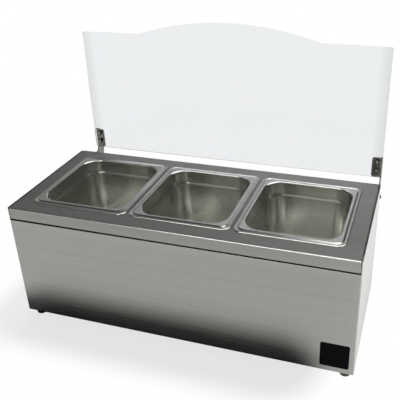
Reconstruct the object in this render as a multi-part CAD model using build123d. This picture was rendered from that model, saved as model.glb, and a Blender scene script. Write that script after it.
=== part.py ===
from build123d import *
import os

# Counter-top condiment server: a stainless cabinet on rubber feet, three drawn pans
# hanging in its deck, and a clear lid on two cranked arms behind the cabinet.
# Millimetres. X runs along the front, -Y is the front, Z is up.
# The lid is drawn open, standing upright behind the deck.
# Pieces are drawn about the middle of the cabinet. At the end all move forwards together,
# so that the origin lies on the counter, under the middle of the open server.

# Pans
pan_rim_x = 159.0
pan_rim_y = 175.0
pan_depth = 102.0
pan_gap = 3.5
pan_sheet = 0.8
pan_seat_gap = 0.3
rim_corner = 12.0
rim_edge = 0.7
rim_radius = 1.6
bead_width = 4.0
bead_rise = 0.7
flange_width = 11.0
mouth_radius = 1.7
neck_corner = 20.0
neck_draft = 0.8
shoulder_drop = 20.0
shoulder_height = 4.0
shoulder_step = 1.5
wall_taper = 6.9
floor_radius = 13.0

# Cabinet
deck_margin = 25.5
cabinet_height = 193.0
sheet = 1.0
bend_inside = 0.8
top_return = 12.0
bottom_return = 25.0
rear_return = 15.0
edge_gap = 0.5

# Deck
deck_flange = 18.0
deck_clearance = 0.3
deck_end_turn = 11.0
deck_corner = 0.8
end_seam = 1.3
shadow_gap = 3.0
neck_setback = 5.0
opening_clearance = 1.7
opening_lip = 6.0

# Lid, measured as it stands open
lid_thickness = 3.0
lid_side_inset = 3.5
lid_front_inset = 4.0
lid_rear_inset = 6.0
lid_clearance = 1.0
lid_corner = 3.0
arch_rise = 25.0
arch_width = 312.0
arch_blend = 60.0

# Hinge
plate = 2.0
plate_bend = 2.6
arm_width = 18.0
arm_inset = 0.6
arm_clearance = 3.5
arm_corner = 16.0
crank_radius = 8.0
leaf_width = 16.5
leaf_height = 34.0
leaf_corner = 3.5
bracket_width = 30.0
bracket_reach = 9.5
bracket_clearance = 1.5
stop_reach = 24.0
stop_width = 16.0
stop_gap = 0.3
pivot_diameter = 4.0
running_fit = 0.05
axial_play = 0.1
spacer_length = 3.0
collar_diameter = 9.0
washer_thickness = 0.8
bolt_head_height = 2.8
bolt_end = 1.3

# Fasteners
screw_diameter = 4.0
screw_head_diameter = 7.6
screw_head_height = 2.4
screw_head_round = 1.5
hole_clearance = 0.1
nut_flats = 7.0
nut_height = 3.2
thread_end = 1.5
lid_screw_diameter = 3.0
lid_screw_head_diameter = 5.2
lid_screw_head_height = 1.7
lid_screw_head_round = 1.1
lid_screw_inset = 8.7
lid_screw_low = 12.2
lid_screw_pitch = 15.5
lid_nut_flats = 5.5
lid_nut_height = 2.4
lid_washer_diameter = 7.8
lid_washer_thickness = 0.8
deck_screw_pitch = 190.0
deck_screw_length = 7.0
rivet_diameter = 4.0
rivet_head_diameter = 8.0
rivet_head_height = 1.4
rivet_tail_diameter = 6.0
rivet_tail_length = 3.5
bracket_rivet_edge = 11.0
bracket_rivet_pitch = 13.0
back_rivet_margin = 20.0

# Feet
foot_height = 12.5
foot_top_diameter = 19.0
foot_bottom_diameter = 16.0
foot_inset_x = 13.5
foot_inset_y = 16.0
foot_recess_diameter = 9.0
foot_recess_depth = 5.0
foot_edge = 1.2

# Badge plate, bare
badge_size = 41.5
badge_thickness = 0.3
badge_corner = 3.0
badge_end_margin = 7.5
badge_bottom_margin = 9.2

# Outside sizes
pan_pitch = pan_rim_x + pan_gap
cabinet_width = 3 * pan_rim_x + 2 * pan_gap + 2 * deck_margin
cabinet_depth = pan_rim_y + 2 * deck_margin
half_x = cabinet_width / 2
half_y = cabinet_depth / 2

# Cabinet faces and levels
bend_outside = bend_inside + sheet
wall_x = half_x
inside_x = wall_x - sheet
front_y = deck_clearance - half_y
neck_front = neck_setback - half_y
back_y = half_y - sheet - deck_clearance
return_y = back_y - sheet
bottom_z = foot_height
deck_z = bottom_z + cabinet_height
wall_top = deck_z - sheet
flange_end = deck_z - deck_flange
ledge_z = flange_end - shadow_gap

# Pan levels and mouth
rim_seat = deck_z + pan_seat_gap
flange_z = rim_seat + rim_edge + pan_sheet
rim_z = flange_z + bead_rise
pan_bottom = rim_z - pan_depth
neck_x = pan_rim_x - 2 * flange_width
neck_y = pan_rim_y - 2 * flange_width

# Pivot, and the lid's place so that it closes flat above the rims
pivot_y = half_y + arm_width / 2 + arm_clearance
pivot_z = deck_z - deck_flange - bracket_clearance - bracket_reach
lid_half = half_x - lid_side_inset
lid_front = pivot_y + (rim_z + lid_clearance - pivot_z)
lid_back = lid_front + lid_thickness
lid_bottom = pivot_z + (pivot_y - half_y + lid_rear_inset)
lid_shoulder = lid_bottom + cabinet_depth - lid_rear_inset - lid_front_inset
arm_back = lid_back + arm_width
middle_y = (arm_back - half_y) / 2

# Hinge stack along X, from the bracket's ear outwards
arm_outer = lid_half - arm_inset
arm_inner = arm_outer - plate
ear_outer = arm_inner - axial_play - spacer_length
ear_inner = ear_outer - plate
washer_inner = arm_outer + axial_play
nut_inner = washer_inner + washer_thickness
bolt_tip = nut_inner + nut_height + bolt_end
pivot_bore = pivot_diameter / 2 + running_fit

# Where fasteners and feet go
screw_hole = screw_diameter / 2 + hole_clearance
lid_screw_hole = lid_screw_diameter / 2 + hole_clearance
rivet_hole = rivet_diameter / 2 + hole_clearance
foot_x = half_x - foot_inset_x
foot_y = half_y - foot_inset_y
foot_places = [(x, y) for x in (-foot_x, foot_x) for y in (-foot_y, foot_y)]
lid_screw_x = arm_outer - lid_screw_inset
lid_screw_levels = [lid_bottom + lid_screw_low, lid_bottom + lid_screw_low + lid_screw_pitch]
lid_screw_places = [(x, z) for x in (-lid_screw_x, lid_screw_x) for z in lid_screw_levels]
deck_screw_level = deck_z - deck_flange / 2
deck_screw_places = [(step * deck_screw_pitch, deck_screw_level) for step in (-1, 0, 1)]
bracket_rivet_row = [ear_outer - bracket_rivet_edge, ear_outer - bracket_rivet_edge - bracket_rivet_pitch]
bracket_rivet_places = [(side * x, pivot_z) for side in (-1, 1) for x in bracket_rivet_row]
back_rivet_x = wall_x - rear_return / 2
back_rivet_low = bottom_z + back_rivet_margin
back_rivet_high = pivot_z - back_rivet_margin
back_rivet_levels = [back_rivet_low, (back_rivet_low + back_rivet_high) / 2, back_rivet_high]
back_rivet_places = [(x, z) for x in (-back_rivet_x, back_rivet_x) for z in back_rivet_levels]
pan_centres = [-pan_pitch, 0.0, pan_pitch]


def slab(outline, low, high):
    """A flat outline in plan, raised from one level to another."""
    return extrude(Plane.XY.offset(low) * outline, amount=high - low)


def block(x_span, y_span, z_span):
    """A rectangular block between two values on each axis."""
    spans = (x_span, y_span, z_span)
    size = [high - low for low, high in spans]
    middle = [(high + low) / 2 for low, high in spans]
    return Pos(*middle) * Box(*size)


def along_x(outline, low, high):
    """An outline drawn in Y and Z, raised along X."""
    return extrude(Plane.YZ.offset(low) * outline, amount=high - low)


def facing(x, y, z, direction):
    """A seat on the part, with its outward direction."""
    return Plane((x, y, z), x_dir=(1, 0, 0), z_dir=direction)


def drill_back(body, places, y, radius, depth):
    """Round holes through a sheet that faces the back."""
    for x, z in places:
        body -= facing(x, y, z, (0, 1, 0)) * Cylinder(radius, depth)
    return body


def drill_feet(body, level, depth):
    """Round holes for the foot screws through a level sheet."""
    for x, y in foot_places:
        body -= Pos(x, y, level) * Cylinder(screw_hole, depth)
    return body


def hexagon(flats, height):
    return extrude(RegularPolygon(flats / 2, 6, major_radius=False), amount=height)


def tube(outer, inner, length):
    return Pos(0, 0, length / 2) * (Cylinder(outer, length) - Cylinder(inner, length))


def screw(length, diameter, head_diameter, head_height, head_round):
    """A pan-head screw: seat at the origin, head above, shank below."""
    head = Pos(0, 0, head_height / 2) * Cylinder(head_diameter / 2, head_height)
    head = fillet(head.edges().group_by(Axis.Z)[-1], head_round)
    return head + Pos(0, 0, -length / 2) * Cylinder(diameter / 2, length)


def cabinet_screw(length):
    """The screw size that the deck and the feet share."""
    return screw(length, screw_diameter, screw_head_diameter, screw_head_height, screw_head_round)


def nut(thread, flats, height):
    """A hexagon nut standing on the origin."""
    return hexagon(flats, height) - Pos(0, 0, height / 2) * Cylinder(thread / 2, height)


def rivet(grip):
    """A blind rivet: domed head on the origin, set tail past the grip."""
    head = rivet_head_diameter / 2
    shank = rivet_diameter / 2
    tail = rivet_tail_diameter / 2
    end = -grip - rivet_tail_length
    crown = ThreePointArc((0, rivet_head_height), (head * 0.55, rivet_head_height * 0.72), (head, 0))
    side = Polyline((head, 0), (shank, 0), (shank, -grip), (tail, -grip), (tail, end), (0, end),
                    (0, rivet_head_height))
    return revolve(Plane.XZ * make_face([crown, side]), Axis.Z)


# Cabinet wrap: front and both ends bent from one sheet. The ends rise flush with the deck, and the
# front steps back behind the deck's flange, which leaves a shadow gap below it.
def cabinet_wrap():
    size_y = return_y - front_y
    middle = Pos(0, (front_y + return_y) / 2)
    body = slab(middle * RectangleRounded(2 * wall_x, size_y, bend_outside), bottom_z, deck_z)
    body = fillet(body.edges().group_by(Axis.Z)[0], bend_outside * 0.9)
    inside = (-inside_x, inside_x)
    hollow = RectangleRounded(2 * inside_x, size_y - 2 * sheet, bend_inside)
    body -= slab(middle * hollow, bottom_z + sheet, ledge_z - sheet)
    body -= block(inside, (neck_front + sheet, return_y - sheet), (ledge_z - sheet, wall_top - sheet))
    body -= block(inside, (-half_y, neck_front), (ledge_z, deck_z))
    body -= block(inside, (-half_y, half_y), (wall_top, deck_z))
    body -= block(inside, (neck_front + top_return, return_y - sheet), (wall_top - sheet, wall_top))
    front_bend = body.edges().filter_by(Axis.X).sort_by_distance((0, front_y, ledge_z))[0]
    body = fillet(front_bend, bend_inside)
    bottom_window = Rectangle(2 * (wall_x - bottom_return), size_y - 2 * bottom_return)
    body -= slab(middle * bottom_window, bottom_z, bottom_z + sheet)
    rear_x = wall_x - rear_return
    body -= block((-rear_x, rear_x), (return_y - sheet, return_y), (bottom_z + sheet, wall_top))
    base_x = wall_x - bottom_return
    body -= block((-base_x, base_x), (return_y - bottom_return, return_y), (bottom_z, wall_top))
    body = drill_back(body, back_rivet_places, return_y, rivet_hole, 4 * sheet)
    return drill_feet(body, bottom_z, 4 * sheet)


# Back panel: a flat sheet over the rear returns, flanged inwards at top and bottom
def back_panel():
    panel_x = wall_x - edge_gap
    body = block((-panel_x, panel_x), (return_y, back_y), (bottom_z, wall_top))
    top_x = wall_x - rear_return - edge_gap
    body += block((-top_x, top_x), (return_y - top_return, return_y), (wall_top - sheet, wall_top))
    base_x = wall_x - bottom_return - edge_gap
    body += block((-base_x, base_x), (return_y - bottom_return, return_y), (bottom_z, bottom_z + sheet))
    body = drill_back(body, back_rivet_places + bracket_rivet_places, back_y, rivet_hole, 4 * sheet)
    return drill_back(body, deck_screw_places, back_y, screw_hole, 4 * sheet)


# Base plate: closes the cabinet from below and is clamped by the foot screws
def base_plate():
    plate_x = wall_x - sheet - edge_gap
    y_span = (front_y + sheet + edge_gap, return_y - sheet - edge_gap)
    body = block((-plate_x, plate_x), y_span, (bottom_z + sheet, bottom_z + 2 * sheet))
    return drill_feet(body, bottom_z + sheet, 4 * sheet)


# Deck: a sheet with front and rear flanges, short turn-downs inside the ends, and three lipped openings
def deck():
    deck_x = inside_x - end_seam
    body = slab(RectangleRounded(2 * deck_x, cabinet_depth, deck_corner), flange_end, deck_z)
    bends = body.edges().group_by(Axis.Z)[-1].filter_by(Axis.X)
    body = fillet(bends, bend_outside * 0.9)
    flange_inside = half_y - sheet
    body -= block((-half_x, half_x), (-flange_inside, flange_inside), (flange_end, deck_z - sheet))
    turn_y = (neck_front + top_return + edge_gap, return_y - sheet - edge_gap)
    turn_z = (deck_z - deck_end_turn, deck_z - sheet / 2)
    for x_span in ((-deck_x, sheet - deck_x), (deck_x - sheet, deck_x)):
        body += block(x_span, turn_y, turn_z)
    grow = pan_sheet + opening_clearance
    hole = RectangleRounded(neck_x + 2 * grow, neck_y + 2 * grow, neck_corner + grow)
    grow += sheet
    lip = RectangleRounded(neck_x + 2 * grow, neck_y + 2 * grow, neck_corner + grow)
    for x in pan_centres:
        body += Pos(x, 0) * slab(lip, deck_z - opening_lip, deck_z - sheet / 2)
        body -= Pos(x, 0) * slab(hole, deck_z - opening_lip, deck_z)
    return drill_back(body, deck_screw_places, half_y, screw_hole, 4 * sheet)


# Pan: drawn bowl with a stacking shoulder, a flat flange and a turned-down beaded rim
def bowl(grow, mouth_level, floor_level):
    """The bowl's form grown outwards by a wall, from its mouth to its floor."""
    def section(level, inset):
        widen = 2 * (grow - inset)
        return Plane.XY.offset(level) * RectangleRounded(neck_x + widen, neck_y + widen, neck_corner + grow)

    shoulder = rim_z - shoulder_drop
    under_step = neck_draft + shoulder_step
    mouth = section(mouth_level, 0)
    ledge = section(shoulder, neck_draft)
    step = section(shoulder - shoulder_height, under_step)
    floor = section(floor_level, under_step + wall_taper)
    lower = loft([step, floor], ruled=True)
    lower = fillet(lower.edges().group_by(Axis.Z)[0], floor_radius + grow)
    return loft([mouth, ledge], ruled=True) + loft([ledge, step], ruled=True) + lower


def pan():
    def outline(inset, corner):
        return RectangleRounded(pan_rim_x - 2 * inset, pan_rim_y - 2 * inset, corner)

    body = slab(outline(0, rim_corner), rim_seat, rim_z)
    body = fillet(body.edges().group_by(Axis.Z)[-1], rim_radius)
    body -= slab(outline(bead_width, rim_corner - bead_width / 2), flange_z, rim_z)
    body -= slab(outline(pan_sheet, rim_corner - pan_sheet), rim_seat, flange_z - pan_sheet)
    body += bowl(pan_sheet, flange_z - pan_sheet / 2, pan_bottom)
    body -= bowl(0, flange_z, pan_bottom + pan_sheet)
    at_flange = body.edges().filter_by_position(Axis.Z, flange_z - 0.01, flange_z + 0.01)
    middles = [(edge, edge.center()) for edge in at_flange]
    mouth = [edge for edge, at in middles if abs(at.X) <= neck_x / 2 and abs(at.Y) <= neck_y / 2]
    return fillet(mouth, mouth_radius)


# Lid: clear sheet with an arched front edge, which stands at the top while the lid is open
def lid_panel():
    half_arch = arch_width / 2
    sides = Polyline((half_arch, lid_shoulder), (lid_half, lid_shoulder), (lid_half, lid_bottom),
                     (-lid_half, lid_bottom), (-lid_half, lid_shoulder), (-half_arch, lid_shoulder))
    arch = ThreePointArc((-half_arch, lid_shoulder), (0, lid_shoulder + arch_rise), (half_arch, lid_shoulder))
    outline = make_face([sides, arch])
    corners = [v for v in outline.vertices() if abs(v.X) > (lid_half + half_arch) / 2]
    outline = fillet(corners, lid_corner)
    blends = [v for v in outline.vertices() if abs(abs(v.X) - half_arch) < lid_corner]
    outline = fillet(blends, arch_blend)
    body = extrude(Plane.XZ.offset(-lid_front) * outline, amount=-lid_thickness)
    return drill_back(body, lid_screw_places, lid_front, lid_screw_hole, 4 * lid_thickness)


# Hinge arm: a cranked plate behind the lid, with a leaf bent in to carry it
def hinge_arm():
    half_arm = arm_width / 2
    arm_end = lid_bottom + leaf_height
    crank = Polyline((pivot_y, pivot_z - half_arm), (arm_back, pivot_z - half_arm), (arm_back, arm_end),
                     (lid_back, arm_end), (lid_back, pivot_z + half_arm), (pivot_y, pivot_z + half_arm),
                     close=True)
    outline = make_face(crank)
    inner = outline.vertices().sort_by_distance((lid_back, pivot_z + half_arm, 0))[0]
    outline = fillet(inner, crank_radius)
    outline = fillet(outline.vertices().group_by(Axis.X)[-1], arm_corner)
    outline += Pos(pivot_y, pivot_z) * Circle(half_arm)
    outline -= Pos(pivot_y, pivot_z) * Circle(pivot_bore)
    leaf_z = (lid_bottom, lid_bottom + leaf_height)
    leaf = block((arm_outer - leaf_width, arm_outer), (lid_back, lid_back + plate), leaf_z)
    leaf = fillet(leaf.edges().filter_by(Axis.Y).group_by(Axis.X)[0], leaf_corner)
    body = along_x(outline, arm_inner, arm_outer) + leaf
    bend_x = arm_outer - plate_bend
    bend_y = lid_back + plate_bend
    bend = block((bend_x, arm_outer), (lid_back, bend_y), leaf_z)
    bend -= Pos(bend_x, bend_y, sum(leaf_z) / 2) * Cylinder(plate_bend, leaf_height)
    return drill_back(body - bend, lid_screw_places, lid_back, lid_screw_hole, 4 * plate)


# Hinge bracket: an angle on the back panel; its ear holds the pivot bolt and its tab stops the open arm
def hinge_bracket():
    stop_top = pivot_z - arm_width / 2 - stop_gap
    stop_bottom = stop_top - plate
    stop_end = pivot_y + stop_reach
    top = pivot_z + bracket_reach
    edge = Polyline((back_y, stop_bottom), (stop_end, stop_bottom), (stop_end, stop_top),
                    (pivot_y, top), (back_y, top), close=True)
    ear = make_face(edge)
    ear += Pos(pivot_y, pivot_z) * Circle(bracket_reach)
    ear -= Pos(pivot_y, pivot_z) * Circle(pivot_bore)
    body = along_x(ear, ear_inner, ear_outer)
    body += block((ear_outer - bracket_width, ear_outer), (back_y, back_y + plate), (stop_bottom, top))
    bend = body.edges().filter_by(Axis.Z).sort_by_distance((ear_outer, back_y, pivot_z))[0]
    body = fillet(bend, plate_bend)
    body += block((ear_inner, arm_outer), (stop_end - stop_width, stop_end), (stop_bottom, stop_top))
    right_rivets = [place for place in bracket_rivet_places if place[0] > 0]
    return drill_back(body, right_rivets, back_y, rivet_hole, 4 * plate)


# Pivot hardware on the right-hand side
def on_pivot(x):
    return Plane((x, pivot_y, pivot_z), x_dir=(0, 1, 0), z_dir=(1, 0, 0))


def pivot_bolt():
    length = bolt_tip - ear_inner
    shank = Pos(0, 0, length / 2) * Cylinder(pivot_diameter / 2, length)
    shank = chamfer(shank.edges().group_by(Axis.Z)[-1], pivot_diameter / 8)
    return on_pivot(ear_inner) * (shank + hexagon(nut_flats, -bolt_head_height))


# Rubber foot: a tapered bumper with a recess for its screw
def foot():
    top = Plane.XY.offset(foot_height) * Circle(foot_top_diameter / 2)
    body = loft([Circle(foot_bottom_diameter / 2), top])
    body = fillet(body.edges().group_by(Axis.Z)[0], foot_edge)
    body -= Pos(0, 0, foot_recess_depth / 2) * Cylinder(foot_recess_diameter / 2, foot_recess_depth)
    return body - Pos(0, 0, foot_height / 2) * Cylinder(screw_hole, foot_height)


# Badge plate: a bare rounded square stuck to the front near its right end
def badge_plate():
    x = wall_x - badge_end_margin - badge_size / 2
    z = bottom_z + badge_bottom_margin + badge_size / 2
    outline = Pos(x, z) * RectangleRounded(badge_size, badge_size, badge_corner)
    return extrude(Plane.XZ.offset(-front_y) * outline, amount=badge_thickness)


# Fasteners, each kind gathered as one group of separate solids
def on_back(places, y, piece):
    """A fastener at each place, seated on a face towards the back."""
    return [facing(x, y, z, (0, 1, 0)) * piece for x, z in places]


def on_lid(y, piece):
    """A fastener at each lid screw's place, seated towards the front."""
    return [facing(x, y, z, (0, -1, 0)) * piece for x, z in lid_screw_places]


def lid_screws():
    length = lid_washer_thickness + lid_thickness + plate + lid_nut_height + thread_end
    head = (lid_screw_head_diameter, lid_screw_head_height, lid_screw_head_round)
    return on_lid(lid_front - lid_washer_thickness, screw(length, lid_screw_diameter, *head))


def lid_nuts():
    piece = nut(lid_screw_diameter, lid_nut_flats, lid_nut_height)
    return on_back(lid_screw_places, lid_back + plate, piece)


def foot_screws():
    piece = cabinet_screw(foot_height - foot_recess_depth + 2 * sheet + nut_height + thread_end)
    return [facing(x, y, foot_recess_depth, (0, 0, -1)) * piece for x, y in foot_places]


def foot_nuts():
    piece = nut(screw_diameter, nut_flats, nut_height)
    return [Pos(x, y, bottom_z + 2 * sheet) * piece for x, y in foot_places]


nodes = {
    "cabinet_wrap": [cabinet_wrap()],
    "back_panel": [back_panel()],
    "base_plate": [base_plate()],
    "deck": [deck()],
    "lid_panel": [lid_panel()],
    "badge_plate": [badge_plate()],
    "lid_screws": lid_screws(),
    "lid_washers": on_lid(lid_front, tube(lid_washer_diameter / 2, lid_screw_hole, lid_washer_thickness)),
    "lid_nuts": lid_nuts(),
    "bracket_rivets": on_back(bracket_rivet_places, back_y + plate, rivet(plate + sheet)),
    "back_rivets": on_back(back_rivet_places, back_y, rivet(2 * sheet)),
    "deck_screws": on_back(deck_screw_places, half_y, cabinet_screw(deck_screw_length)),
    "foot_screws": foot_screws(),
    "foot_nuts": foot_nuts(),
}

# Three pans from one
one_pan = pan()
for name, x in zip(("pan_left", "pan_centre", "pan_right"), pan_centres):
    nodes[name] = [Pos(x, 0, 0) * one_pan]

# Four feet from one
one_foot = foot()
foot_names = ("foot_front_left", "foot_rear_left", "foot_front_right", "foot_rear_right")
for name, (x, y) in zip(foot_names, foot_places):
    nodes[name] = [Pos(x, y, 0) * one_foot]

# The right-hand hinge and its mirror image
right_hinge = {
    "hinge_arm": hinge_arm(),
    "hinge_bracket": hinge_bracket(),
    "pivot_bolt": pivot_bolt(),
    "pivot_spacer": on_pivot(ear_outer) * tube(collar_diameter / 2, pivot_bore, spacer_length),
    "pivot_washer": on_pivot(washer_inner) * tube(collar_diameter / 2, pivot_bore, washer_thickness),
    "pivot_nut": on_pivot(nut_inner) * nut(pivot_diameter, nut_flats, nut_height),
}
for name, piece in right_hinge.items():
    nodes[name + "_right"] = [piece]
    nodes[name + "_left"] = [mirror(piece, about=Plane.YZ)]

os.makedirs("parts", exist_ok=True)
for name, solids in nodes.items():
    moved = [Pos(0, -middle_y, 0) * solid for solid in solids]
    shape = moved[0] if len(moved) == 1 else Compound(children=moved)
    export_step(shape, f"parts/{name}.step")
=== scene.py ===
import bpy
import bmesh
import math
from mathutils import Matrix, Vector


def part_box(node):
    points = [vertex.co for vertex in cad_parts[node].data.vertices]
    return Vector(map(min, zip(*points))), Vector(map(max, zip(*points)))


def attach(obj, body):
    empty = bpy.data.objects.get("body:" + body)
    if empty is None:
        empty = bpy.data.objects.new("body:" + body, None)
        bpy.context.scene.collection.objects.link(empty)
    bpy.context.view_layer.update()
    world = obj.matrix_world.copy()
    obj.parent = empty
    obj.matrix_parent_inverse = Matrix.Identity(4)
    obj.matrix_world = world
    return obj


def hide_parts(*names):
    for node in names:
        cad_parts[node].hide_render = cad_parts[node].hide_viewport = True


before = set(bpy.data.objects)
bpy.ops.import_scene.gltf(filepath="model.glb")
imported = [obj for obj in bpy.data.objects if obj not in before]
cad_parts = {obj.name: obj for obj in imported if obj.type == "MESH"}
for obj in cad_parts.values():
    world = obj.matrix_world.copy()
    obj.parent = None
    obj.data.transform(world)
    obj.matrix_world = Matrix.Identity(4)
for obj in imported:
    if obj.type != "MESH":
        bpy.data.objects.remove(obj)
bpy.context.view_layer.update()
mm = 0.001

# The pans' rim and its flange, as the solids have them
rim_low, rim_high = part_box("pan_left")
rim_size = (rim_high[0] - rim_low[0], rim_high[1] - rim_low[1])
flange_level = rim_high[2] - 0.02 * mm
flange_width = 11 * mm
mouth_size = (rim_size[0] - 2 * flange_width, rim_size[1] - 2 * flange_width)


# Hand tools: each does one step that is made again and again at the bench
def clear_bench():
    """Nothing stays selected, so that the next step acts on the new piece alone."""
    if bpy.context.object and bpy.context.object.mode != "OBJECT":
        bpy.ops.object.mode_set(mode="OBJECT")
    bpy.ops.object.select_all(action="DESELECT")


def choose(kind, test):
    """In edit mode, select only the faces, edges or vertices whose points all pass the test."""
    modes = {"verts": "VERT", "edges": "EDGE", "faces": "FACE"}
    bpy.ops.mesh.select_mode(type=modes[kind])
    bpy.ops.mesh.select_all(action="DESELECT")
    mesh = bmesh.from_edit_mesh(bpy.context.object.data)
    for item in getattr(mesh, kind):
        points = [item.co] if kind == "verts" else [vertex.co for vertex in item.verts]
        item.select_set(all(test(point) for point in points))
    mesh.select_flush_mode()
    bmesh.update_edit_mesh(bpy.context.object.data)


def open_edges():
    """In edit mode, keep only those selected edges that end the sheet."""
    mesh = bmesh.from_edit_mesh(bpy.context.object.data)
    for edge in mesh.edges:
        if edge.select and len(edge.link_faces) > 1:
            edge.select_set(False)
    mesh.select_flush_mode()
    bmesh.update_edit_mesh(bpy.context.object.data)


def rounded_plate(size, corner, place, steps=12):
    """In edit mode, add a flat plate in plan with rounded corners, and leave it selected."""
    bpy.ops.mesh.primitive_plane_add(size=1, location=place)
    bpy.ops.transform.resize(value=(size[0], size[1], 1), center_override=place)
    bpy.ops.mesh.bevel(offset=corner, affect="VERTICES", segments=steps)


def grow_loop(old, new, drop, centre):
    """Draw the selected loop or face down by a distance and to a new width and length."""
    bpy.ops.mesh.extrude_region_move(TRANSFORM_OT_translate={"value": (0, 0, -drop)})
    bpy.ops.transform.resize(value=(new[0] / old[0], new[1] / old[1], 1), center_override=centre)


def turned(profile, steps=40, ring=False):
    """Turn a piece about Z: a circle is drawn out step by step, each step a radius and a height
    in mm. A ring ends where it starts and is open in the middle."""
    clear_bench()
    radius, height = profile[0]
    bpy.ops.mesh.primitive_circle_add(vertices=steps, radius=radius * mm,
                                      location=(0, 0, height * mm),
                                      fill_type="NOTHING" if ring else "NGON")
    piece = bpy.context.object
    bpy.ops.object.transform_apply(location=True)
    bpy.ops.object.mode_set(mode="EDIT")
    bpy.ops.mesh.select_mode(type="VERT")
    bpy.ops.mesh.select_all(action="SELECT")
    for wide, high in profile[1:]:
        lift = (0, 0, (high - height) * mm)
        bpy.ops.mesh.extrude_region_move(TRANSFORM_OT_translate={"value": lift})
        bpy.ops.transform.resize(value=(wide / radius, wide / radius, 1), center_override=(0, 0, 0))
        radius, height = wide, high
    bpy.ops.mesh.select_all(action="SELECT")
    bpy.ops.mesh.remove_doubles(threshold=0.001 * mm)
    bpy.ops.mesh.normals_make_consistent(inside=False)
    bpy.ops.object.mode_set(mode="OBJECT")
    return piece


def quarter_round(radius, height, corner, steps=5):
    """Profile steps round a corner that ends at the given height, as radius and height in mm."""
    angles = [math.pi / 2 * i / steps for i in range(steps + 1)]
    return [(radius - corner + corner * math.cos(angle), height - corner + corner * math.sin(angle))
            for angle in angles]


def apply_all(piece):
    """Apply the modifiers of a piece in their order."""
    for modifier in list(piece.modifiers):
        bpy.ops.object.modifier_apply(modifier=modifier.name)


def cut(piece, cutter, how="DIFFERENCE"):
    """Cut one piece with another, which is used up."""
    clear_bench()
    bpy.context.view_layer.objects.active = piece
    piece.select_set(True)
    tool = piece.modifiers.new("cut", "BOOLEAN")
    tool.operation = how
    tool.object = cutter
    tool.solver = "EXACT"
    apply_all(piece)
    bpy.data.objects.remove(cutter)


def copy_of(model):
    """A copy of a piece with its own mesh, which alone is selected."""
    clear_bench()
    model.select_set(True)
    bpy.context.view_layer.objects.active = model
    bpy.ops.object.duplicate(linked=False)
    return bpy.context.object


def finish_piece(piece, name, body, material, nodes, smooth=30):
    """Name a finished piece, put its place in its mesh, dress it and let it ride on its body."""
    clear_bench()
    piece.select_set(True)
    bpy.context.view_layer.objects.active = piece
    bpy.ops.object.transform_apply(location=True, rotation=True, scale=True)
    bpy.ops.object.shade_smooth_by_angle(angle=math.radians(smooth))
    piece.name = name
    piece.data.name = name
    piece.data.materials.clear()
    piece.data.materials.append(material)
    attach(piece, body)
    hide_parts(*nodes)
    return piece


def set_copies(model, name, places, turn, body, slot, material, node):
    """Set a copy of a fastener at each place, turned to face its way, and drop the model."""
    for number, place in enumerate(places, 1):
        piece = copy_of(model)
        piece.rotation_euler = turn
        piece.location = place
        finish_piece(piece, f"{name}_{number}", body, material, [node])
    bpy.data.objects.remove(model)


# Colours and materials
def linear(code):
    """An sRGB hex colour as the linear values that a shader takes."""
    parts = [int(code[i:i + 2], 16) / 255 for i in (1, 3, 5)]
    return tuple(part / 12.92 if part <= 0.04045 else ((part + 0.055) / 1.055) ** 2.4
                 for part in parts) + (1.0,)


def add(tree, kind, inputs=None, stops=(), **settings):
    """Add one node with its settings, set or link its inputs, and give a colour ramp its stops,
    each a place and an sRGB hex colour."""
    made = tree.nodes.new("ShaderNode" + kind)
    for name, value in settings.items():
        setattr(made, name, value)
    for name, value in (inputs or {}).items():
        if isinstance(value, bpy.types.NodeSocket):
            tree.links.new(value, made.inputs[name])
        else:
            made.inputs[name].default_value = value
    if stops:
        elements = made.color_ramp.elements
        while len(elements) < len(stops):
            elements.new(0.5)
        for element, (place, code) in zip(elements, stops):
            element.position = place
            element.color = linear(code)
    return made


def new_material(name):
    """An empty material with its output, ready for nodes."""
    material = bpy.data.materials.new(name)
    material.use_nodes = True
    tree = material.node_tree
    tree.nodes.clear()
    return material, tree, add(tree, "OutputMaterial")


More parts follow.
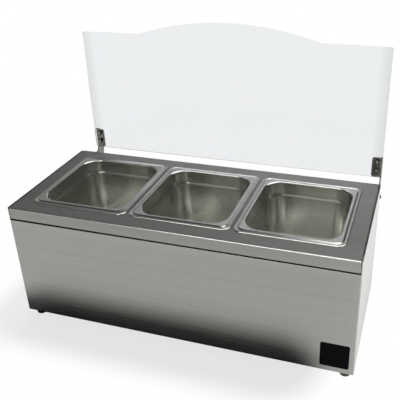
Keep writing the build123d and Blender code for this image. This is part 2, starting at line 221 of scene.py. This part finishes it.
def brushed_steel(name, grain, light, dark, rough, bend=None):
    """Stainless sheet with a belt-brushed grain: fine parallel scratches that draw the light out
    across the grain. They are drawn about 0.6 mm wide, coarser than the real 0.1 mm, so that they
    show. Broad pale and dark streaks of 20 to 40 mm run the same way. A bend, given by the Y and Z
    of its edge, gets a painted highlight: its colour is lifted to a pale grey, and it is smoother."""
    scratch_width, streak_width = 0.6 * mm, 22 * mm
    material, tree, output = new_material(name)
    place = add(tree, "TexCoord").outputs["Object"]
    fine = add(tree, "Mapping", {"Vector": place, "Scale": tuple(g / scratch_width for g in grain)})
    scratch = add(tree, "TexNoise", {"Vector": fine.outputs["Vector"], "Scale": 1.0, "Detail": 3.0,
                                     "Roughness": 0.6})
    broad = add(tree, "Mapping", {"Vector": place, "Scale": tuple(g / streak_width for g in grain)})
    streak = add(tree, "TexNoise", {"Vector": broad.outputs["Vector"], "Scale": 1.0, "Detail": 4.0,
                                    "Roughness": 0.55})
    both = add(tree, "Mix", {"Factor": 0.3, "A": streak.outputs["Fac"],
                             "B": scratch.outputs["Fac"]}, data_type="FLOAT")
    colour = add(tree, "ValToRGB", {"Fac": both.outputs["Result"]},
                 stops=((0.34, dark), (0.66, light)))
    roughness = add(tree, "MapRange", {"Value": scratch.outputs["Fac"], "From Min": 0.3,
                                       "From Max": 0.7, "To Min": rough - 0.05,
                                       "To Max": rough + 0.06})
    bump = add(tree, "Bump", {"Height": scratch.outputs["Fac"], "Strength": 0.035,
                              "Distance": 0.05 * mm})
    shader = add(tree, "BsdfPrincipled", {"Base Color": colour.outputs["Color"], "Metallic": 1.0,
                                          "Roughness": roughness.outputs["Result"],
                                          "Normal": bump.outputs["Normal"]})
    # Painted highlight: the colour along the bend is lifted to a pale grey
    if bend:
        off = add(tree, "VectorMath", {0: place, 1: (0, 1, 1), 2: (0, -bend[0], -bend[1])},
                  operation="MULTIPLY_ADD")
        reach = add(tree, "VectorMath", {0: off.outputs["Vector"]}, operation="LENGTH")
        bend_highlight = add(tree, "MapRange", {"Value": reach.outputs["Value"], "From Min": 1.0 * mm,
                                        "From Max": 1.8 * mm, "To Min": 1.0, "To Max": 0.0})
        bright = add(tree, "Mix", {"Factor": bend_highlight.outputs["Result"],
                                   "A": colour.outputs["Color"], "B": linear("#DADAD8")},
                     data_type="RGBA")
        smooth = add(tree, "Mix", {"Factor": bend_highlight.outputs["Result"],
                                   "A": roughness.outputs["Result"], "B": 0.2},
                     data_type="FLOAT")
        tree.links.new(bright.outputs["Result"], shader.inputs["Base Color"])
        tree.links.new(smooth.outputs["Result"], shader.inputs["Roughness"])
    tree.links.new(shader.outputs["BSDF"], output.inputs["Surface"])
    return material


def drawn_steel():
    """Deep-drawn stainless: the bowl keeps the satin of the drawing, with soft clouds of 15 mm. The
    flange and bead are smoother from the wear of lifting and stacking, and are painted paler than
    the bowl, a painted highlight."""
    cloud_size = 15 * mm
    wear_and_highlight_from, wear_and_highlight_to = flange_level - 4.0 * mm, flange_level - 2.5 * mm
    material, tree, output = new_material("satin_drawn_stainless")
    place = add(tree, "TexCoord").outputs["Object"]
    cloud = add(tree, "TexNoise", {"Vector": place, "Scale": 1 / cloud_size, "Detail": 3.0})
    bowl = add(tree, "ValToRGB", {"Fac": cloud.outputs["Fac"]},
               stops=((0.3, "#CECEC8"), (0.7, "#D6D6D0")))
    # The flange and bead are painted paler than the bowl: a painted highlight
    rim = add(tree, "ValToRGB", {"Fac": cloud.outputs["Fac"]},
              stops=((0.3, "#D0D0CC"), (0.7, "#DADAD6")))
    height = add(tree, "SeparateXYZ", {"Vector": place})
    wear_and_highlight = add(tree, "MapRange", {"Value": height.outputs["Z"], "From Min": wear_and_highlight_from,
                                  "From Max": wear_and_highlight_to})
    colour = add(tree, "Mix", {"Factor": wear_and_highlight.outputs["Result"], "A": bowl.outputs["Color"],
                               "B": rim.outputs["Color"]}, data_type="RGBA")
    roughness = add(tree, "MapRange", {"Value": wear_and_highlight.outputs["Result"], "To Min": 0.25,
                                       "To Max": 0.22})
    shader = add(tree, "BsdfPrincipled", {"Base Color": colour.outputs["Result"], "Metallic": 1.0,
                                          "Roughness": roughness.outputs["Result"]})
    tree.links.new(shader.outputs["BSDF"], output.inputs["Surface"])
    return material


def acrylic():
    """Clear cast acrylic sheet, polished: even, with a faint haze of wiping marks 3 mm apart. Its
    gloss is kept low, because the sheet shows next to nothing of the deck. Its two ends are painted
    a little darker over the last 20 mm, a painted shade."""
    mark_length, mark_pitch, mark_slant = 60 * mm, 3 * mm, 0.35
    half_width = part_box("lid_panel")[1][0]
    edge_shade_from = half_width - 20 * mm
    material, tree, output = new_material("clear_cast_acrylic")
    place = add(tree, "TexCoord").outputs["Object"]
    wipe = add(tree, "Mapping", {"Vector": place, "Scale": (1 / mark_length, 1.0, 1 / mark_pitch),
                                 "Rotation": (0, mark_slant, 0)})
    haze = add(tree, "TexNoise", {"Vector": wipe.outputs["Vector"], "Scale": 1.0, "Detail": 4.0})
    roughness = add(tree, "MapRange", {"Value": haze.outputs["Fac"], "From Min": 0.35,
                                       "From Max": 0.75, "To Min": 0.0, "To Max": 0.06})
    across = add(tree, "SeparateXYZ", {"Vector": place}).outputs["X"]
    from_middle = add(tree, "Math", {0: across}, operation="ABSOLUTE")
    # Painted shade: the sheet is darker over the last 20 mm towards each end
    end = add(tree, "MapRange", {"Value": from_middle.outputs["Value"], "From Min": edge_shade_from,
                                 "From Max": half_width})
    colour = add(tree, "Mix", {"Factor": end.outputs["Result"], "A": linear("#ECEEF0"),
                               "B": linear("#DADCDD")}, data_type="RGBA")
    shader = add(tree, "BsdfPrincipled", {"Base Color": colour.outputs["Result"],
                                          "Roughness": roughness.outputs["Result"],
                                          "IOR": 1.15, "Transmission Weight": 1.0})
    tree.links.new(shader.outputs["BSDF"], output.inputs["Surface"])
    return material


def plain_metal(name, light, dark, rough, grain):
    """Metal with a rolled or plated skin: small blotches of the given grain in colour and gloss."""
    material, tree, output = new_material(name)
    place = add(tree, "TexCoord").outputs["Object"]
    blotch = add(tree, "TexNoise", {"Vector": place, "Scale": 1 / grain, "Detail": 5.0,
                                    "Roughness": 0.65})
    colour = add(tree, "ValToRGB", {"Fac": blotch.outputs["Fac"]},
                 stops=((0.3, dark), (0.7, light)))
    roughness = add(tree, "MapRange", {"Value": blotch.outputs["Fac"], "From Min": 0.3,
                                       "From Max": 0.7, "To Min": rough - 0.06,
                                       "To Max": rough + 0.06})
    bump = add(tree, "Bump", {"Height": blotch.outputs["Fac"], "Strength": 0.08,
                              "Distance": 0.05 * mm})
    shader = add(tree, "BsdfPrincipled", {"Base Color": colour.outputs["Color"], "Metallic": 1.0,
                                          "Roughness": roughness.outputs["Result"],
                                          "Normal": bump.outputs["Normal"]})
    tree.links.new(shader.outputs["BSDF"], output.inputs["Surface"])
    return material


def plastic(name, light, dark, rough, grain, ior):
    """A moulded or lacquered skin: orange peel of the given grain, a little uneven in tone and
    gloss."""
    material, tree, output = new_material(name)
    place = add(tree, "TexCoord").outputs["Object"]
    peel = add(tree, "TexNoise", {"Vector": place, "Scale": 1 / grain, "Detail": 4.0})
    colour = add(tree, "ValToRGB", {"Fac": peel.outputs["Fac"]},
                 stops=((0.3, dark), (0.7, light)))
    roughness = add(tree, "MapRange", {"Value": peel.outputs["Fac"], "From Min": 0.3,
                                       "From Max": 0.7, "To Min": rough - 0.05,
                                       "To Max": rough + 0.05})
    bump = add(tree, "Bump", {"Height": peel.outputs["Fac"], "Strength": 0.15,
                              "Distance": 0.05 * mm})
    shader = add(tree, "BsdfPrincipled", {"Base Color": colour.outputs["Color"], "IOR": ior,
                                          "Roughness": roughness.outputs["Result"],
                                          "Normal": bump.outputs["Normal"]})
    tree.links.new(shader.outputs["BSDF"], output.inputs["Surface"])
    return material


along = 1 / 150  # a scratch is 150 times as long as it is wide
wrap_steel = brushed_steel("brushed_stainless_wrap", grain=(along, along, 1),
                           light="#A0A09C", dark="#969692", rough=0.27)
deck_steel = brushed_steel("brushed_stainless_deck", grain=(along, 1, 1),
                           light="#A0A09D", dark="#969693", rough=0.5,
                           bend=(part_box("deck")[0][1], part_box("deck")[1][2]))
pan_steel = drawn_steel()
lid_acrylic = acrylic()
hinge_steel = plain_metal("rolled_hinge_steel", light="#8E8D86", dark="#7D7C75",
                          rough=0.4, grain=6 * mm)
screw_steel = plain_metal("plated_screw_steel", light="#A6A5A0", dark="#94938E",
                          rough=0.34, grain=1.2 * mm)
pivot_steel = plain_metal("blackened_pivot_steel", light="#5C5B57", dark="#474642",
                          rough=0.38, grain=1.2 * mm)
rivet_aluminium = plain_metal("rivet_aluminium", light="#D4D5D6", dark="#C2C3C4",
                              rough=0.38, grain=1.5 * mm)
spacer_nylon = plastic("white_nylon", light="#ECEAE2", dark="#E2E0D6",
                       rough=0.42, grain=0.8 * mm, ior=1.53)
foot_rubber = plastic("black_moulded_rubber", light="#1B1B1B", dark="#101010",
                      rough=0.6, grain=0.7 * mm, ior=1.52)
# The plate's IOR is low for a lacquer, because it shows next to no gloss
badge_face = plastic("navy_lacquered_plate", light="#070811", dark="#04050B",
                     rough=0.2, grain=5 * mm, ior=1.12)

# Nodes that stay as the solids have them, each with the material that it wears
cad_dress = {
    "cabinet_wrap": wrap_steel, "back_panel": wrap_steel, "base_plate": wrap_steel,
    "deck": deck_steel, "badge_plate": badge_face, "foot_nuts": screw_steel,
    "lid_washers": foot_rubber,
}
for side in ("left", "right"):
    cad_dress.update({
        "hinge_arm_" + side: hinge_steel, "hinge_bracket_" + side: hinge_steel,
        "pivot_bolt_" + side: pivot_steel, "pivot_nut_" + side: pivot_steel,
        "pivot_spacer_" + side: spacer_nylon, "pivot_washer_" + side: screw_steel,
    })
for name, material in cad_dress.items():
    for material_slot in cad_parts[name].material_slots:
        material_slot.material = material


# Pans: the bowl is drawn down from the mouth, then the flange and its bead are rolled outwards
pan_sheet = 0.8 * mm
mouth_corner, mouth_roll = 28 * mm, 2.4 * mm
shoulder_top, shoulder_foot, pan_floor = 20 * mm, 24 * mm, 101.18 * mm
# Each step of the wall: its depth, and how far in from the mouth it stands
wall_steps = ((shoulder_top, 0.8 * mm), (shoulder_foot, 2.3 * mm), (pan_floor, 9.2 * mm))
# Each rounded edge of the wall: its depth, its rounding and the segments of that
wall_rounds = ((pan_floor, 13 * mm, 9), (shoulder_foot, 1.9 * mm, 6), (shoulder_top, 1.9 * mm, 6))
bead_inset, bead_corner = 7 * mm, 11 * mm
# Each step of the bead: how far in from the rim it stands, and its height from the flange, in mm
bead_steps = ((6.7, -0.06), (4.2, -1.2), (3.9, -1.3), (3.5, -1.3), (3.1, -1.15), (2.6, -0.9),
              (2.1, -0.75), (1.6, -0.7), (1.1, -0.78), (0.6, -1.05), (0.25, -1.45), (0.05, -1.85),
              (0.0, -2.18))


def on_level(depth, near=0.1 * mm):
    """A test for the points of a pan that lie at a depth below its flange."""
    return lambda point: abs(point.z + depth) < near


def at_mouth(point, near=0.1 * mm):
    """Whether a point of a pan lies on the edge between bowl and flange."""
    inside = all(abs(point[axis]) < mouth_size[axis] / 2 + near for axis in range(2))
    return inside and on_level(0)(point)


def drawn_pan():
    centre = ((rim_low[0] + rim_high[0]) / 2, (rim_low[1] + rim_high[1]) / 2, flange_level)
    clear_bench()
    bpy.ops.mesh.primitive_plane_add(size=1, location=centre)
    piece = bpy.context.object
    bpy.ops.object.mode_set(mode="EDIT")
    bpy.ops.mesh.delete(type="VERT")
    rounded_plate(mouth_size, mouth_corner, centre)
    level, size = 0, mouth_size
    for depth, inset in wall_steps:
        narrow = (mouth_size[0] - 2 * inset, mouth_size[1] - 2 * inset)
        grow_loop(size, narrow, depth - level, centre)
        level, size = depth, narrow
    choose("faces", on_level(0))
    bpy.ops.mesh.delete(type="ONLY_FACE")
    for depth, rounding, segments in wall_rounds:
        choose("edges", on_level(depth))
        bpy.ops.mesh.bevel(offset=rounding, segments=segments, affect="EDGES")

    size = (rim_size[0] - 2 * bead_inset, rim_size[1] - 2 * bead_inset)
    rounded_plate(size, bead_corner, centre)
    bpy.ops.mesh.delete(type="ONLY_FACE")
    choose("edges", on_level(0))
    open_edges()
    bpy.ops.mesh.bridge_edge_loops()
    choose("edges", on_level(0))
    open_edges()
    level = 0
    for inset, height in bead_steps:
        wide = (rim_size[0] - 2 * inset * mm, rim_size[1] - 2 * inset * mm)
        grow_loop(size, wide, level - height * mm, centre)
        level, size = height * mm, wide

    choose("edges", at_mouth)
    bpy.ops.mesh.bevel(offset=mouth_roll, segments=7, affect="EDGES")
    bpy.ops.mesh.select_all(action="SELECT")
    bpy.ops.mesh.remove_doubles(threshold=0.002 * mm)
    bpy.ops.mesh.normals_make_consistent(inside=False)
    bpy.ops.object.mode_set(mode="OBJECT")
    wall = piece.modifiers.new("wall", "SOLIDIFY")
    wall.thickness = pan_sheet
    wall.offset = 1
    wall.use_even_offset = True
    apply_all(piece)
    return piece


pans = {"pan_left": drawn_pan()}
for name in ("pan_centre", "pan_right"):
    pans[name] = copy_of(pans["pan_left"])
    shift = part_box(name)[0][0] - rim_low[0]
    bpy.ops.transform.translate(value=(shift, 0, 0))
for name, piece in pans.items():
    finish_piece(piece, name + "_drawn", name, pan_steel, [name], smooth=32)
    weigh = piece.modifiers.new("flat_faces", "WEIGHTED_NORMAL")
    weigh.keep_sharp = True
    apply_all(piece)


# Lid: a disc cut at the shoulders for the arch, joined to the sheet, rounded, then thickened
def lid_sheet():
    low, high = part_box("lid_panel")
    half_arch, rise = 156 * mm, 25 * mm
    arch_fillet, end_corner, polished_edge = 9.6 * mm, 3 * mm, 0.35 * mm
    shoulder = high[2] - rise
    radius = (half_arch ** 2 + rise ** 2) / (2 * rise)
    upright = (math.pi / 2, 0, 0)
    hair = 0.01 * mm

    def below_arch(point):
        return point.z < shoulder + hair

    def at_arch_foot(point):
        return (abs(point.z - shoulder) < 0.05 * mm
                and abs(abs(point.x) - half_arch) < 0.5 * mm)

    def at_end(point):
        return abs(point.x) > high[0] - hair

    clear_bench()
    bpy.ops.mesh.primitive_circle_add(vertices=180, radius=radius, fill_type="NGON",
                                      location=(0, 0, high[2] - radius), rotation=upright)
    piece = bpy.context.object
    bpy.ops.object.transform_apply(location=True, rotation=True)
    bpy.ops.object.mode_set(mode="EDIT")
    bpy.ops.mesh.select_all(action="SELECT")
    bpy.ops.mesh.bisect(plane_co=(0, 0, shoulder), plane_no=(0, 0, 1), clear_inner=True)
    middle = (0, 0, (low[2] + shoulder) / 2)
    bpy.ops.mesh.primitive_plane_add(size=1, location=middle, rotation=upright)
    bpy.ops.transform.resize(value=(high[0] - low[0], 1, shoulder - low[2]), center_override=middle)
    for x in (-half_arch, half_arch):
        choose("faces", below_arch)
        bpy.ops.mesh.bisect(plane_co=(x, 0, 0), plane_no=(1, 0, 0))
    bpy.ops.mesh.select_all(action="SELECT")
    bpy.ops.mesh.remove_doubles(threshold=0.6 * mm)
    bpy.ops.mesh.select_mode(type="FACE")
    bpy.ops.mesh.select_all(action="SELECT")
    bpy.ops.mesh.dissolve_faces(use_verts=True)
    choose("verts", at_arch_foot)
    bpy.ops.mesh.bevel(offset=arch_fillet, segments=8, affect="VERTICES")
    choose("verts", at_end)
    bpy.ops.mesh.bevel(offset=end_corner, segments=6, affect="VERTICES")
    choose("faces", lambda point: True)
    thickness = (0, high[1] - low[1], 0)
    bpy.ops.mesh.extrude_region_move(TRANSFORM_OT_translate={"value": thickness})
    bpy.ops.mesh.select_all(action="SELECT")
    bpy.ops.transform.translate(value=(0, low[1], 0))
    bpy.ops.mesh.normals_make_consistent(inside=False)
    bpy.ops.object.mode_set(mode="OBJECT")
    edge = piece.modifiers.new("polished_edge", "BEVEL")
    edge.width = polished_edge
    edge.segments = 2
    edge.limit_method = "ANGLE"
    edge.angle_limit = math.radians(60)
    apply_all(piece)
    return piece


# Screws: pan heads with a cross recess and a thread on the last turns. Sizes are in mm, and shank
# and head are radii
small_head = {"shank": 1.5, "head": 2.6, "head_height": 1.7, "corner": 1.1, "pitch": 0.5}
large_head = {"shank": 2.0, "head": 3.8, "head_height": 2.4, "corner": 1.5, "pitch": 0.7}


def pan_head_screw(length, turns, shank, head, head_height, corner, pitch):
    point, root = 0.6 * shank, 0.82 * shank
    start = -length + 0.3
    run_out = start + turns * pitch + 0.2
    profile = [(point, -length), (root, start)]
    for turn in range(turns):
        low = start + turn * pitch
        profile += [(shank, low + pitch / 2), (root, low + pitch)]
    profile += [(shank, run_out), (shank, 0), (head, 0)]
    profile += quarter_round(head, head_height, corner)
    piece = turned(profile)
    cross_length, cross_width = 1.25 * head * mm, 0.26 * head * mm
    for angle in (0, math.pi / 2):
        clear_bench()
        bpy.ops.mesh.primitive_cube_add(size=1, location=(0, 0, head_height * mm),
                                        rotation=(0, 0, angle))
        cross = bpy.context.object
        bpy.ops.object.mode_set(mode="EDIT")
        bpy.ops.transform.resize(value=(cross_length, cross_width, head_height * mm))
        choose("faces", lambda point: point.z < 0)
        bpy.ops.transform.resize(value=(0.5, 0.7, 1))
        bpy.ops.object.mode_set(mode="OBJECT")
        cut(piece, cross)
    return piece


# Nuts: a hexagon whose corners are turned off at both ends, bored and countersunk
def hexagon_nut(flats, height, thread):
    clear_bench()
    corner = flats / math.sqrt(3)
    bpy.ops.mesh.primitive_cylinder_add(vertices=6, radius=corner * mm, depth=height * mm,
                                        location=(0, 0, height / 2 * mm),
                                        rotation=(0, 0, math.pi / 6))
    piece = bpy.context.object
    bpy.ops.object.transform_apply(location=True, rotation=True)
    edge = 0.97 * flats / 2
    fall = 0.5 * (corner - edge)
    barrel = turned([(edge, 0), (corner, fall), (corner, height - fall), (edge, height)], steps=48)
    cut(piece, barrel, "INTERSECT")
    sink, sink_depth, past = 1.2 * thread, 0.3, 0.2
    bore = turned([(sink, -past), (thread, sink_depth), (thread, height - sink_depth),
                   (sink, height + past)])
    cut(piece, bore)
    return piece


# Blind rivets: a low dome with the broken-off mandrel sunk in its middle, sizes in mm
rivet_head, rivet_dome = 4.0, 1.4


def blind_rivet(grip):
    blind_end = [(2.0, -grip - 3.5), (3.0, -grip - 2.6), (3.0, -grip - 0.6), (2.0, -grip), (2.0, 0)]
    dome = [(rivet_head, 0), (3.9, 0.35), (3.5, 0.75), (2.9, 1.08), (2.2, 1.3), (1.35, rivet_dome)]
    mandrel = [(1.2, 1.3), (1.15, 0.7), (1.0, 0.6), (0.95, 0.75)]
    return turned(blind_end + dome + mandrel)


def ends_of(node, inset):
    """The two ends of a group of fasteners along each axis, brought in to their centres."""
    low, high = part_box(node)
    return [(low[axis] + inset * mm, high[axis] - inset * mm) for axis in range(3)]


to_front, to_back, to_floor = (math.pi / 2, 0, 0), (-math.pi / 2, 0, 0), (math.pi, 0, 0)
in_steel = ("fastener_steel", screw_steel)
in_aluminium = ("rivet_aluminium", rivet_aluminium)

# The lid's sheet is drilled where its screws go
lid_hole, drill_reach = 1.55, 6
xs, _, zs = ends_of("lid_screws", small_head["head"])
sheet = lid_sheet()
for x in xs:
    for z in zs:
        drill = turned([(lid_hole, -drill_reach), (lid_hole, drill_reach)])
        drill.rotation_euler = to_front
        drill.location = (x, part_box("lid_panel")[0][1], z)
        cut(sheet, drill)
finish_piece(sheet, "lid_sheet", "lid", lid_acrylic, ["lid_panel"], smooth=15)

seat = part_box("lid_screws")[0][1] + small_head["head_height"] * mm
set_copies(pan_head_screw(length=9.7, turns=6, **small_head), "lid_screw",
           [(x, seat, z) for x in xs for z in zs], to_front, "lid", *in_steel, "lid_screws")

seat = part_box("lid_nuts")[0][1]
set_copies(hexagon_nut(flats=5.5, height=2.4, thread=1.5), "lid_nut",
           [(x, seat, z) for x in xs for z in zs], to_back, "lid", *in_steel, "lid_nuts")

xs, _, zs = ends_of("deck_screws", large_head["head"])
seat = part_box("deck_screws")[1][1] - large_head["head_height"] * mm
set_copies(pan_head_screw(length=7.0, turns=4, **large_head), "deck_screw",
           [(x, seat, zs[0]) for x in (xs[0], 0, xs[1])], to_back, "cabinet", *in_steel,
           "deck_screws")

xs, ys, _ = ends_of("foot_screws", large_head["head"])
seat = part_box("foot_screws")[0][2] + large_head["head_height"] * mm
set_copies(pan_head_screw(length=14.2, turns=6, **large_head), "foot_screw",
           [(x, y, seat) for x in xs for y in ys], to_floor, "cabinet", *in_steel, "foot_screws")

bracket_pitch = 13 * mm
xs, _, zs = ends_of("bracket_rivets", rivet_head)
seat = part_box("bracket_rivets")[1][1] - rivet_dome * mm
set_copies(blind_rivet(grip=3.0), "bracket_rivet",
           [(x, seat, zs[0]) for x in (xs[0], xs[0] + bracket_pitch, xs[1] - bracket_pitch, xs[1])],
           to_back, "cabinet", *in_aluminium, "bracket_rivets")

xs, _, zs = ends_of("back_rivets", rivet_head)
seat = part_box("back_rivets")[1][1] - rivet_dome * mm
set_copies(blind_rivet(grip=2.0), "back_rivet",
           [(x, seat, z) for x in xs for z in (zs[0], (zs[0] + zs[1]) / 2, zs[1])],
           to_back, "cabinet", *in_aluminium, "back_rivets")


# Feet: tapered bumpers with a rounded sole, recessed for the screw, sizes in mm
def rubber_foot():
    sole_flat, sole_round = 6.8, 1.2
    recess = [(2.1, 5.0), (4.2, 5.0), (4.5, 4.7), (4.5, 0.5), (4.9, 0.0)]
    sole = [(sole_flat + sole_round * math.sin(angle), sole_round - sole_round * math.cos(angle))
            for angle in (0, 0.4, 0.8, 1.2, 1.57)]
    top = [(9.4, 12.0), (9.5, 12.3), (9.2, 12.5), (2.1, 12.5), (2.1, 5.0)]
    return turned(recess + sole + top, steps=48, ring=True)


foot = rubber_foot()
for node in ("foot_front_left", "foot_front_right", "foot_rear_left", "foot_rear_right"):
    low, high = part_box(node)
    piece = copy_of(foot)
    piece.location = ((low[0] + high[0]) / 2, (low[1] + high[1]) / 2, 0)
    finish_piece(piece, node + "_1", "cabinet", foot_rubber, [node])
bpy.data.objects.remove(foot)


# Stage: a white floor, a dim room and soft boxes
def seen_straight(tree, path):
    """Whether a thing is seen by the eye, straight or through the clear lid, and not in metal."""
    first = add(tree, "Math", {0: path["Glossy Depth"], 1: 0.5}, operation="LESS_THAN")
    through = add(tree, "Math", {0: path["Is Transmission Ray"], 1: first.outputs["Value"]},
                  operation="MULTIPLY")
    seen = add(tree, "Math", {0: path["Is Camera Ray"], 1: through.outputs["Value"]},
               operation="MAXIMUM")
    return seen.outputs["Value"]


def studio_floor():
    """White paper: lit like any paper near the server, so that it keeps the shadow, and plain white
    further away, also where metal or the clear lid shows it. In metal the lit paper is greyer, for
    the dark band along the foot of the front, and the white to the right is brighter, for the end
    of the cabinet."""
    shadow_centre, shadow_half = (-0.06, -0.02, 0), (0.2, 0.115, 0)
    clear_bench()
    bpy.ops.mesh.primitive_plane_add(size=12, location=(0, 0, 0))
    floor = bpy.context.object
    floor.name = "studio_floor"
    material, tree, output = new_material("white_paper_floor")
    path = add(tree, "LightPath").outputs
    in_metal = path["Is Glossy Ray"]
    place = add(tree, "TexCoord").outputs["Object"]
    tone = add(tree, "Mix", {"Factor": in_metal, "A": linear("#FAFAFA"), "B": linear("#949494")},
               data_type="RGBA")
    paper = add(tree, "BsdfDiffuse", {"Color": tone.outputs["Result"]})
    across = add(tree, "SeparateXYZ", {"Vector": place}).outputs["X"]
    right = add(tree, "MapRange", {"Value": across, "From Min": 0.25, "From Max": 0.32,
                                   "To Min": 1.0, "To Max": 1.4})
    strength = add(tree, "Mix", {"Factor": in_metal, "A": 1.0, "B": right.outputs["Result"]},
                   data_type="FLOAT")
    white = add(tree, "Emission", {"Color": linear("#FFFFFF"),
                                   "Strength": strength.outputs["Result"]})
    away = add(tree, "VectorMath", {0: place, 1: shadow_centre}, operation="SUBTRACT")
    away = add(tree, "VectorMath", {0: away.outputs["Vector"]}, operation="ABSOLUTE")
    away = add(tree, "VectorMath", {0: away.outputs["Vector"], 1: shadow_half},
               operation="SUBTRACT")
    away = add(tree, "VectorMath", {0: away.outputs["Vector"], 1: (0, 0, 0)}, operation="MAXIMUM")
    away = add(tree, "VectorMath", {0: away.outputs["Vector"]}, operation="LENGTH")
    far = add(tree, "MapRange", {"Value": away.outputs["Value"], "From Min": 0.05,
                                 "From Max": 0.11}, interpolation_type="SMOOTHSTEP")
    pale = add(tree, "MapRange", {"Value": far.outputs["Result"], "To Min": 0.75})
    shown = add(tree, "Math", {0: in_metal, 1: far.outputs["Result"]}, operation="MULTIPLY")
    share = add(tree, "Math", {0: seen_straight(tree, path), 1: pale.outputs["Result"],
                               2: shown.outputs["Value"]},
                operation="MULTIPLY_ADD", use_clamp=True)
    mix = add(tree, "MixShader", {0: share.outputs["Value"], 1: paper.outputs["BSDF"],
                                  2: white.outputs["Emission"]})
    tree.links.new(mix.outputs["Shader"], output.inputs["Surface"])
    floor.data.materials.append(material)


def studio_world():
    """A room with a dark ceiling: a pale wall behind the server, a grey one in front of it and dark
    ones to the right. Metal shows it, and the eye sees plain white past the floor."""
    world = bpy.data.worlds.new("grey_studio")
    bpy.context.scene.world = world
    world.use_nodes = True
    tree = world.node_tree
    tree.nodes.clear()
    sky = add(tree, "TexCoord").outputs["Generated"]
    direction = add(tree, "SeparateXYZ", {"Vector": sky}).outputs
    side = add(tree, "MapRange", {"Value": direction["X"], "From Min": -1.0, "From Max": 1.0})
    front = add(tree, "ValToRGB", {"Fac": side.outputs["Result"]},
                stops=((0.0, "#505050"), (0.3, "#808080"), (0.42, "#808080"), (0.54, "#202020")))
    rear = add(tree, "ValToRGB", {"Fac": side.outputs["Result"]},
               stops=((0.2, "#808080"), (0.42, "#D2D2D2"), (0.56, "#D2D2D2"), (0.66, "#202020")))
    behind = add(tree, "MapRange", {"Value": direction["Y"], "From Min": 0.0, "From Max": 0.5},
                 interpolation_type="SMOOTHSTEP")
    walls = add(tree, "Mix", {"Factor": behind.outputs["Result"], "A": front.outputs["Color"],
                              "B": rear.outputs["Color"]}, data_type="RGBA")
    above = add(tree, "MapRange", {"Value": direction["Z"], "From Min": 0.58, "From Max": 0.72},
                interpolation_type="SMOOTHSTEP")
    room = add(tree, "Mix", {"Factor": above.outputs["Result"], "A": walls.outputs["Result"],
                             "B": linear("#404040")}, data_type="RGBA")
    seen = seen_straight(tree, add(tree, "LightPath").outputs)
    tone = add(tree, "Mix", {"Factor": seen, "A": room.outputs["Result"], "B": linear("#FFFFFF")},
               data_type="RGBA")
    light = add(tree, "Background", {"Color": tone.outputs["Result"], "Strength": 1.0})
    output = add(tree, "OutputWorld")
    tree.links.new(light.outputs["Background"], output.inputs["Surface"])


def soft_box(name, place, turn, size, watts, shown):
    """A lamp, turned from facing down. It works on gloss alone where metal is to show it, and
    otherwise on matt surfaces alone."""
    bpy.ops.object.light_add(type="AREA", location=place)
    lamp = bpy.context.object
    lamp.name = name
    lamp.data.shape = "RECTANGLE"
    lamp.data.size, lamp.data.size_y = size
    lamp.data.energy = watts
    lamp.rotation_euler = turn
    lamp.visible_glossy = shown
    lamp.visible_diffuse = not shown


def camera():
    """The camera where the straight edges of cabinet, deck and pans fit the photo's."""
    bpy.ops.object.camera_add(location=(0.31635, -0.81333, 0.64973),
                              rotation=[math.radians(a) for a in (62.82, 1.667, 18.344)])
    eye = bpy.context.object
    eye.name = "camera"
    eye.data.sensor_width = 36
    eye.data.lens = 55.19
    eye.data.shift_x = -0.0607
    eye.data.shift_y = -0.0307
    bpy.context.scene.camera = eye


studio_floor()
studio_world()
soft_box("top_soft_box", place=(0.0, 0.75, 1.8), turn=(0, 0, 0),
         size=(2.4, 1.2), watts=24, shown=False)
soft_box("front_strip", place=(-0.1, -1.3, 1.9), turn=(0.66, 0, 0),
         size=(1.4, 0.12), watts=3.2, shown=True)
soft_box("right_panel", place=(0.8, 0.0, 1.7), turn=(0, 0.489, 0),
         size=(2.0, 2.0), watts=22, shown=True)
soft_box("front_panel", place=(-0.3, -1.85, 1.25), turn=(1.04, 0, -0.161),
         size=(1.2, 0.7), watts=10, shown=True)
camera()
bpy.context.scene.view_settings.view_transform = "Standard"
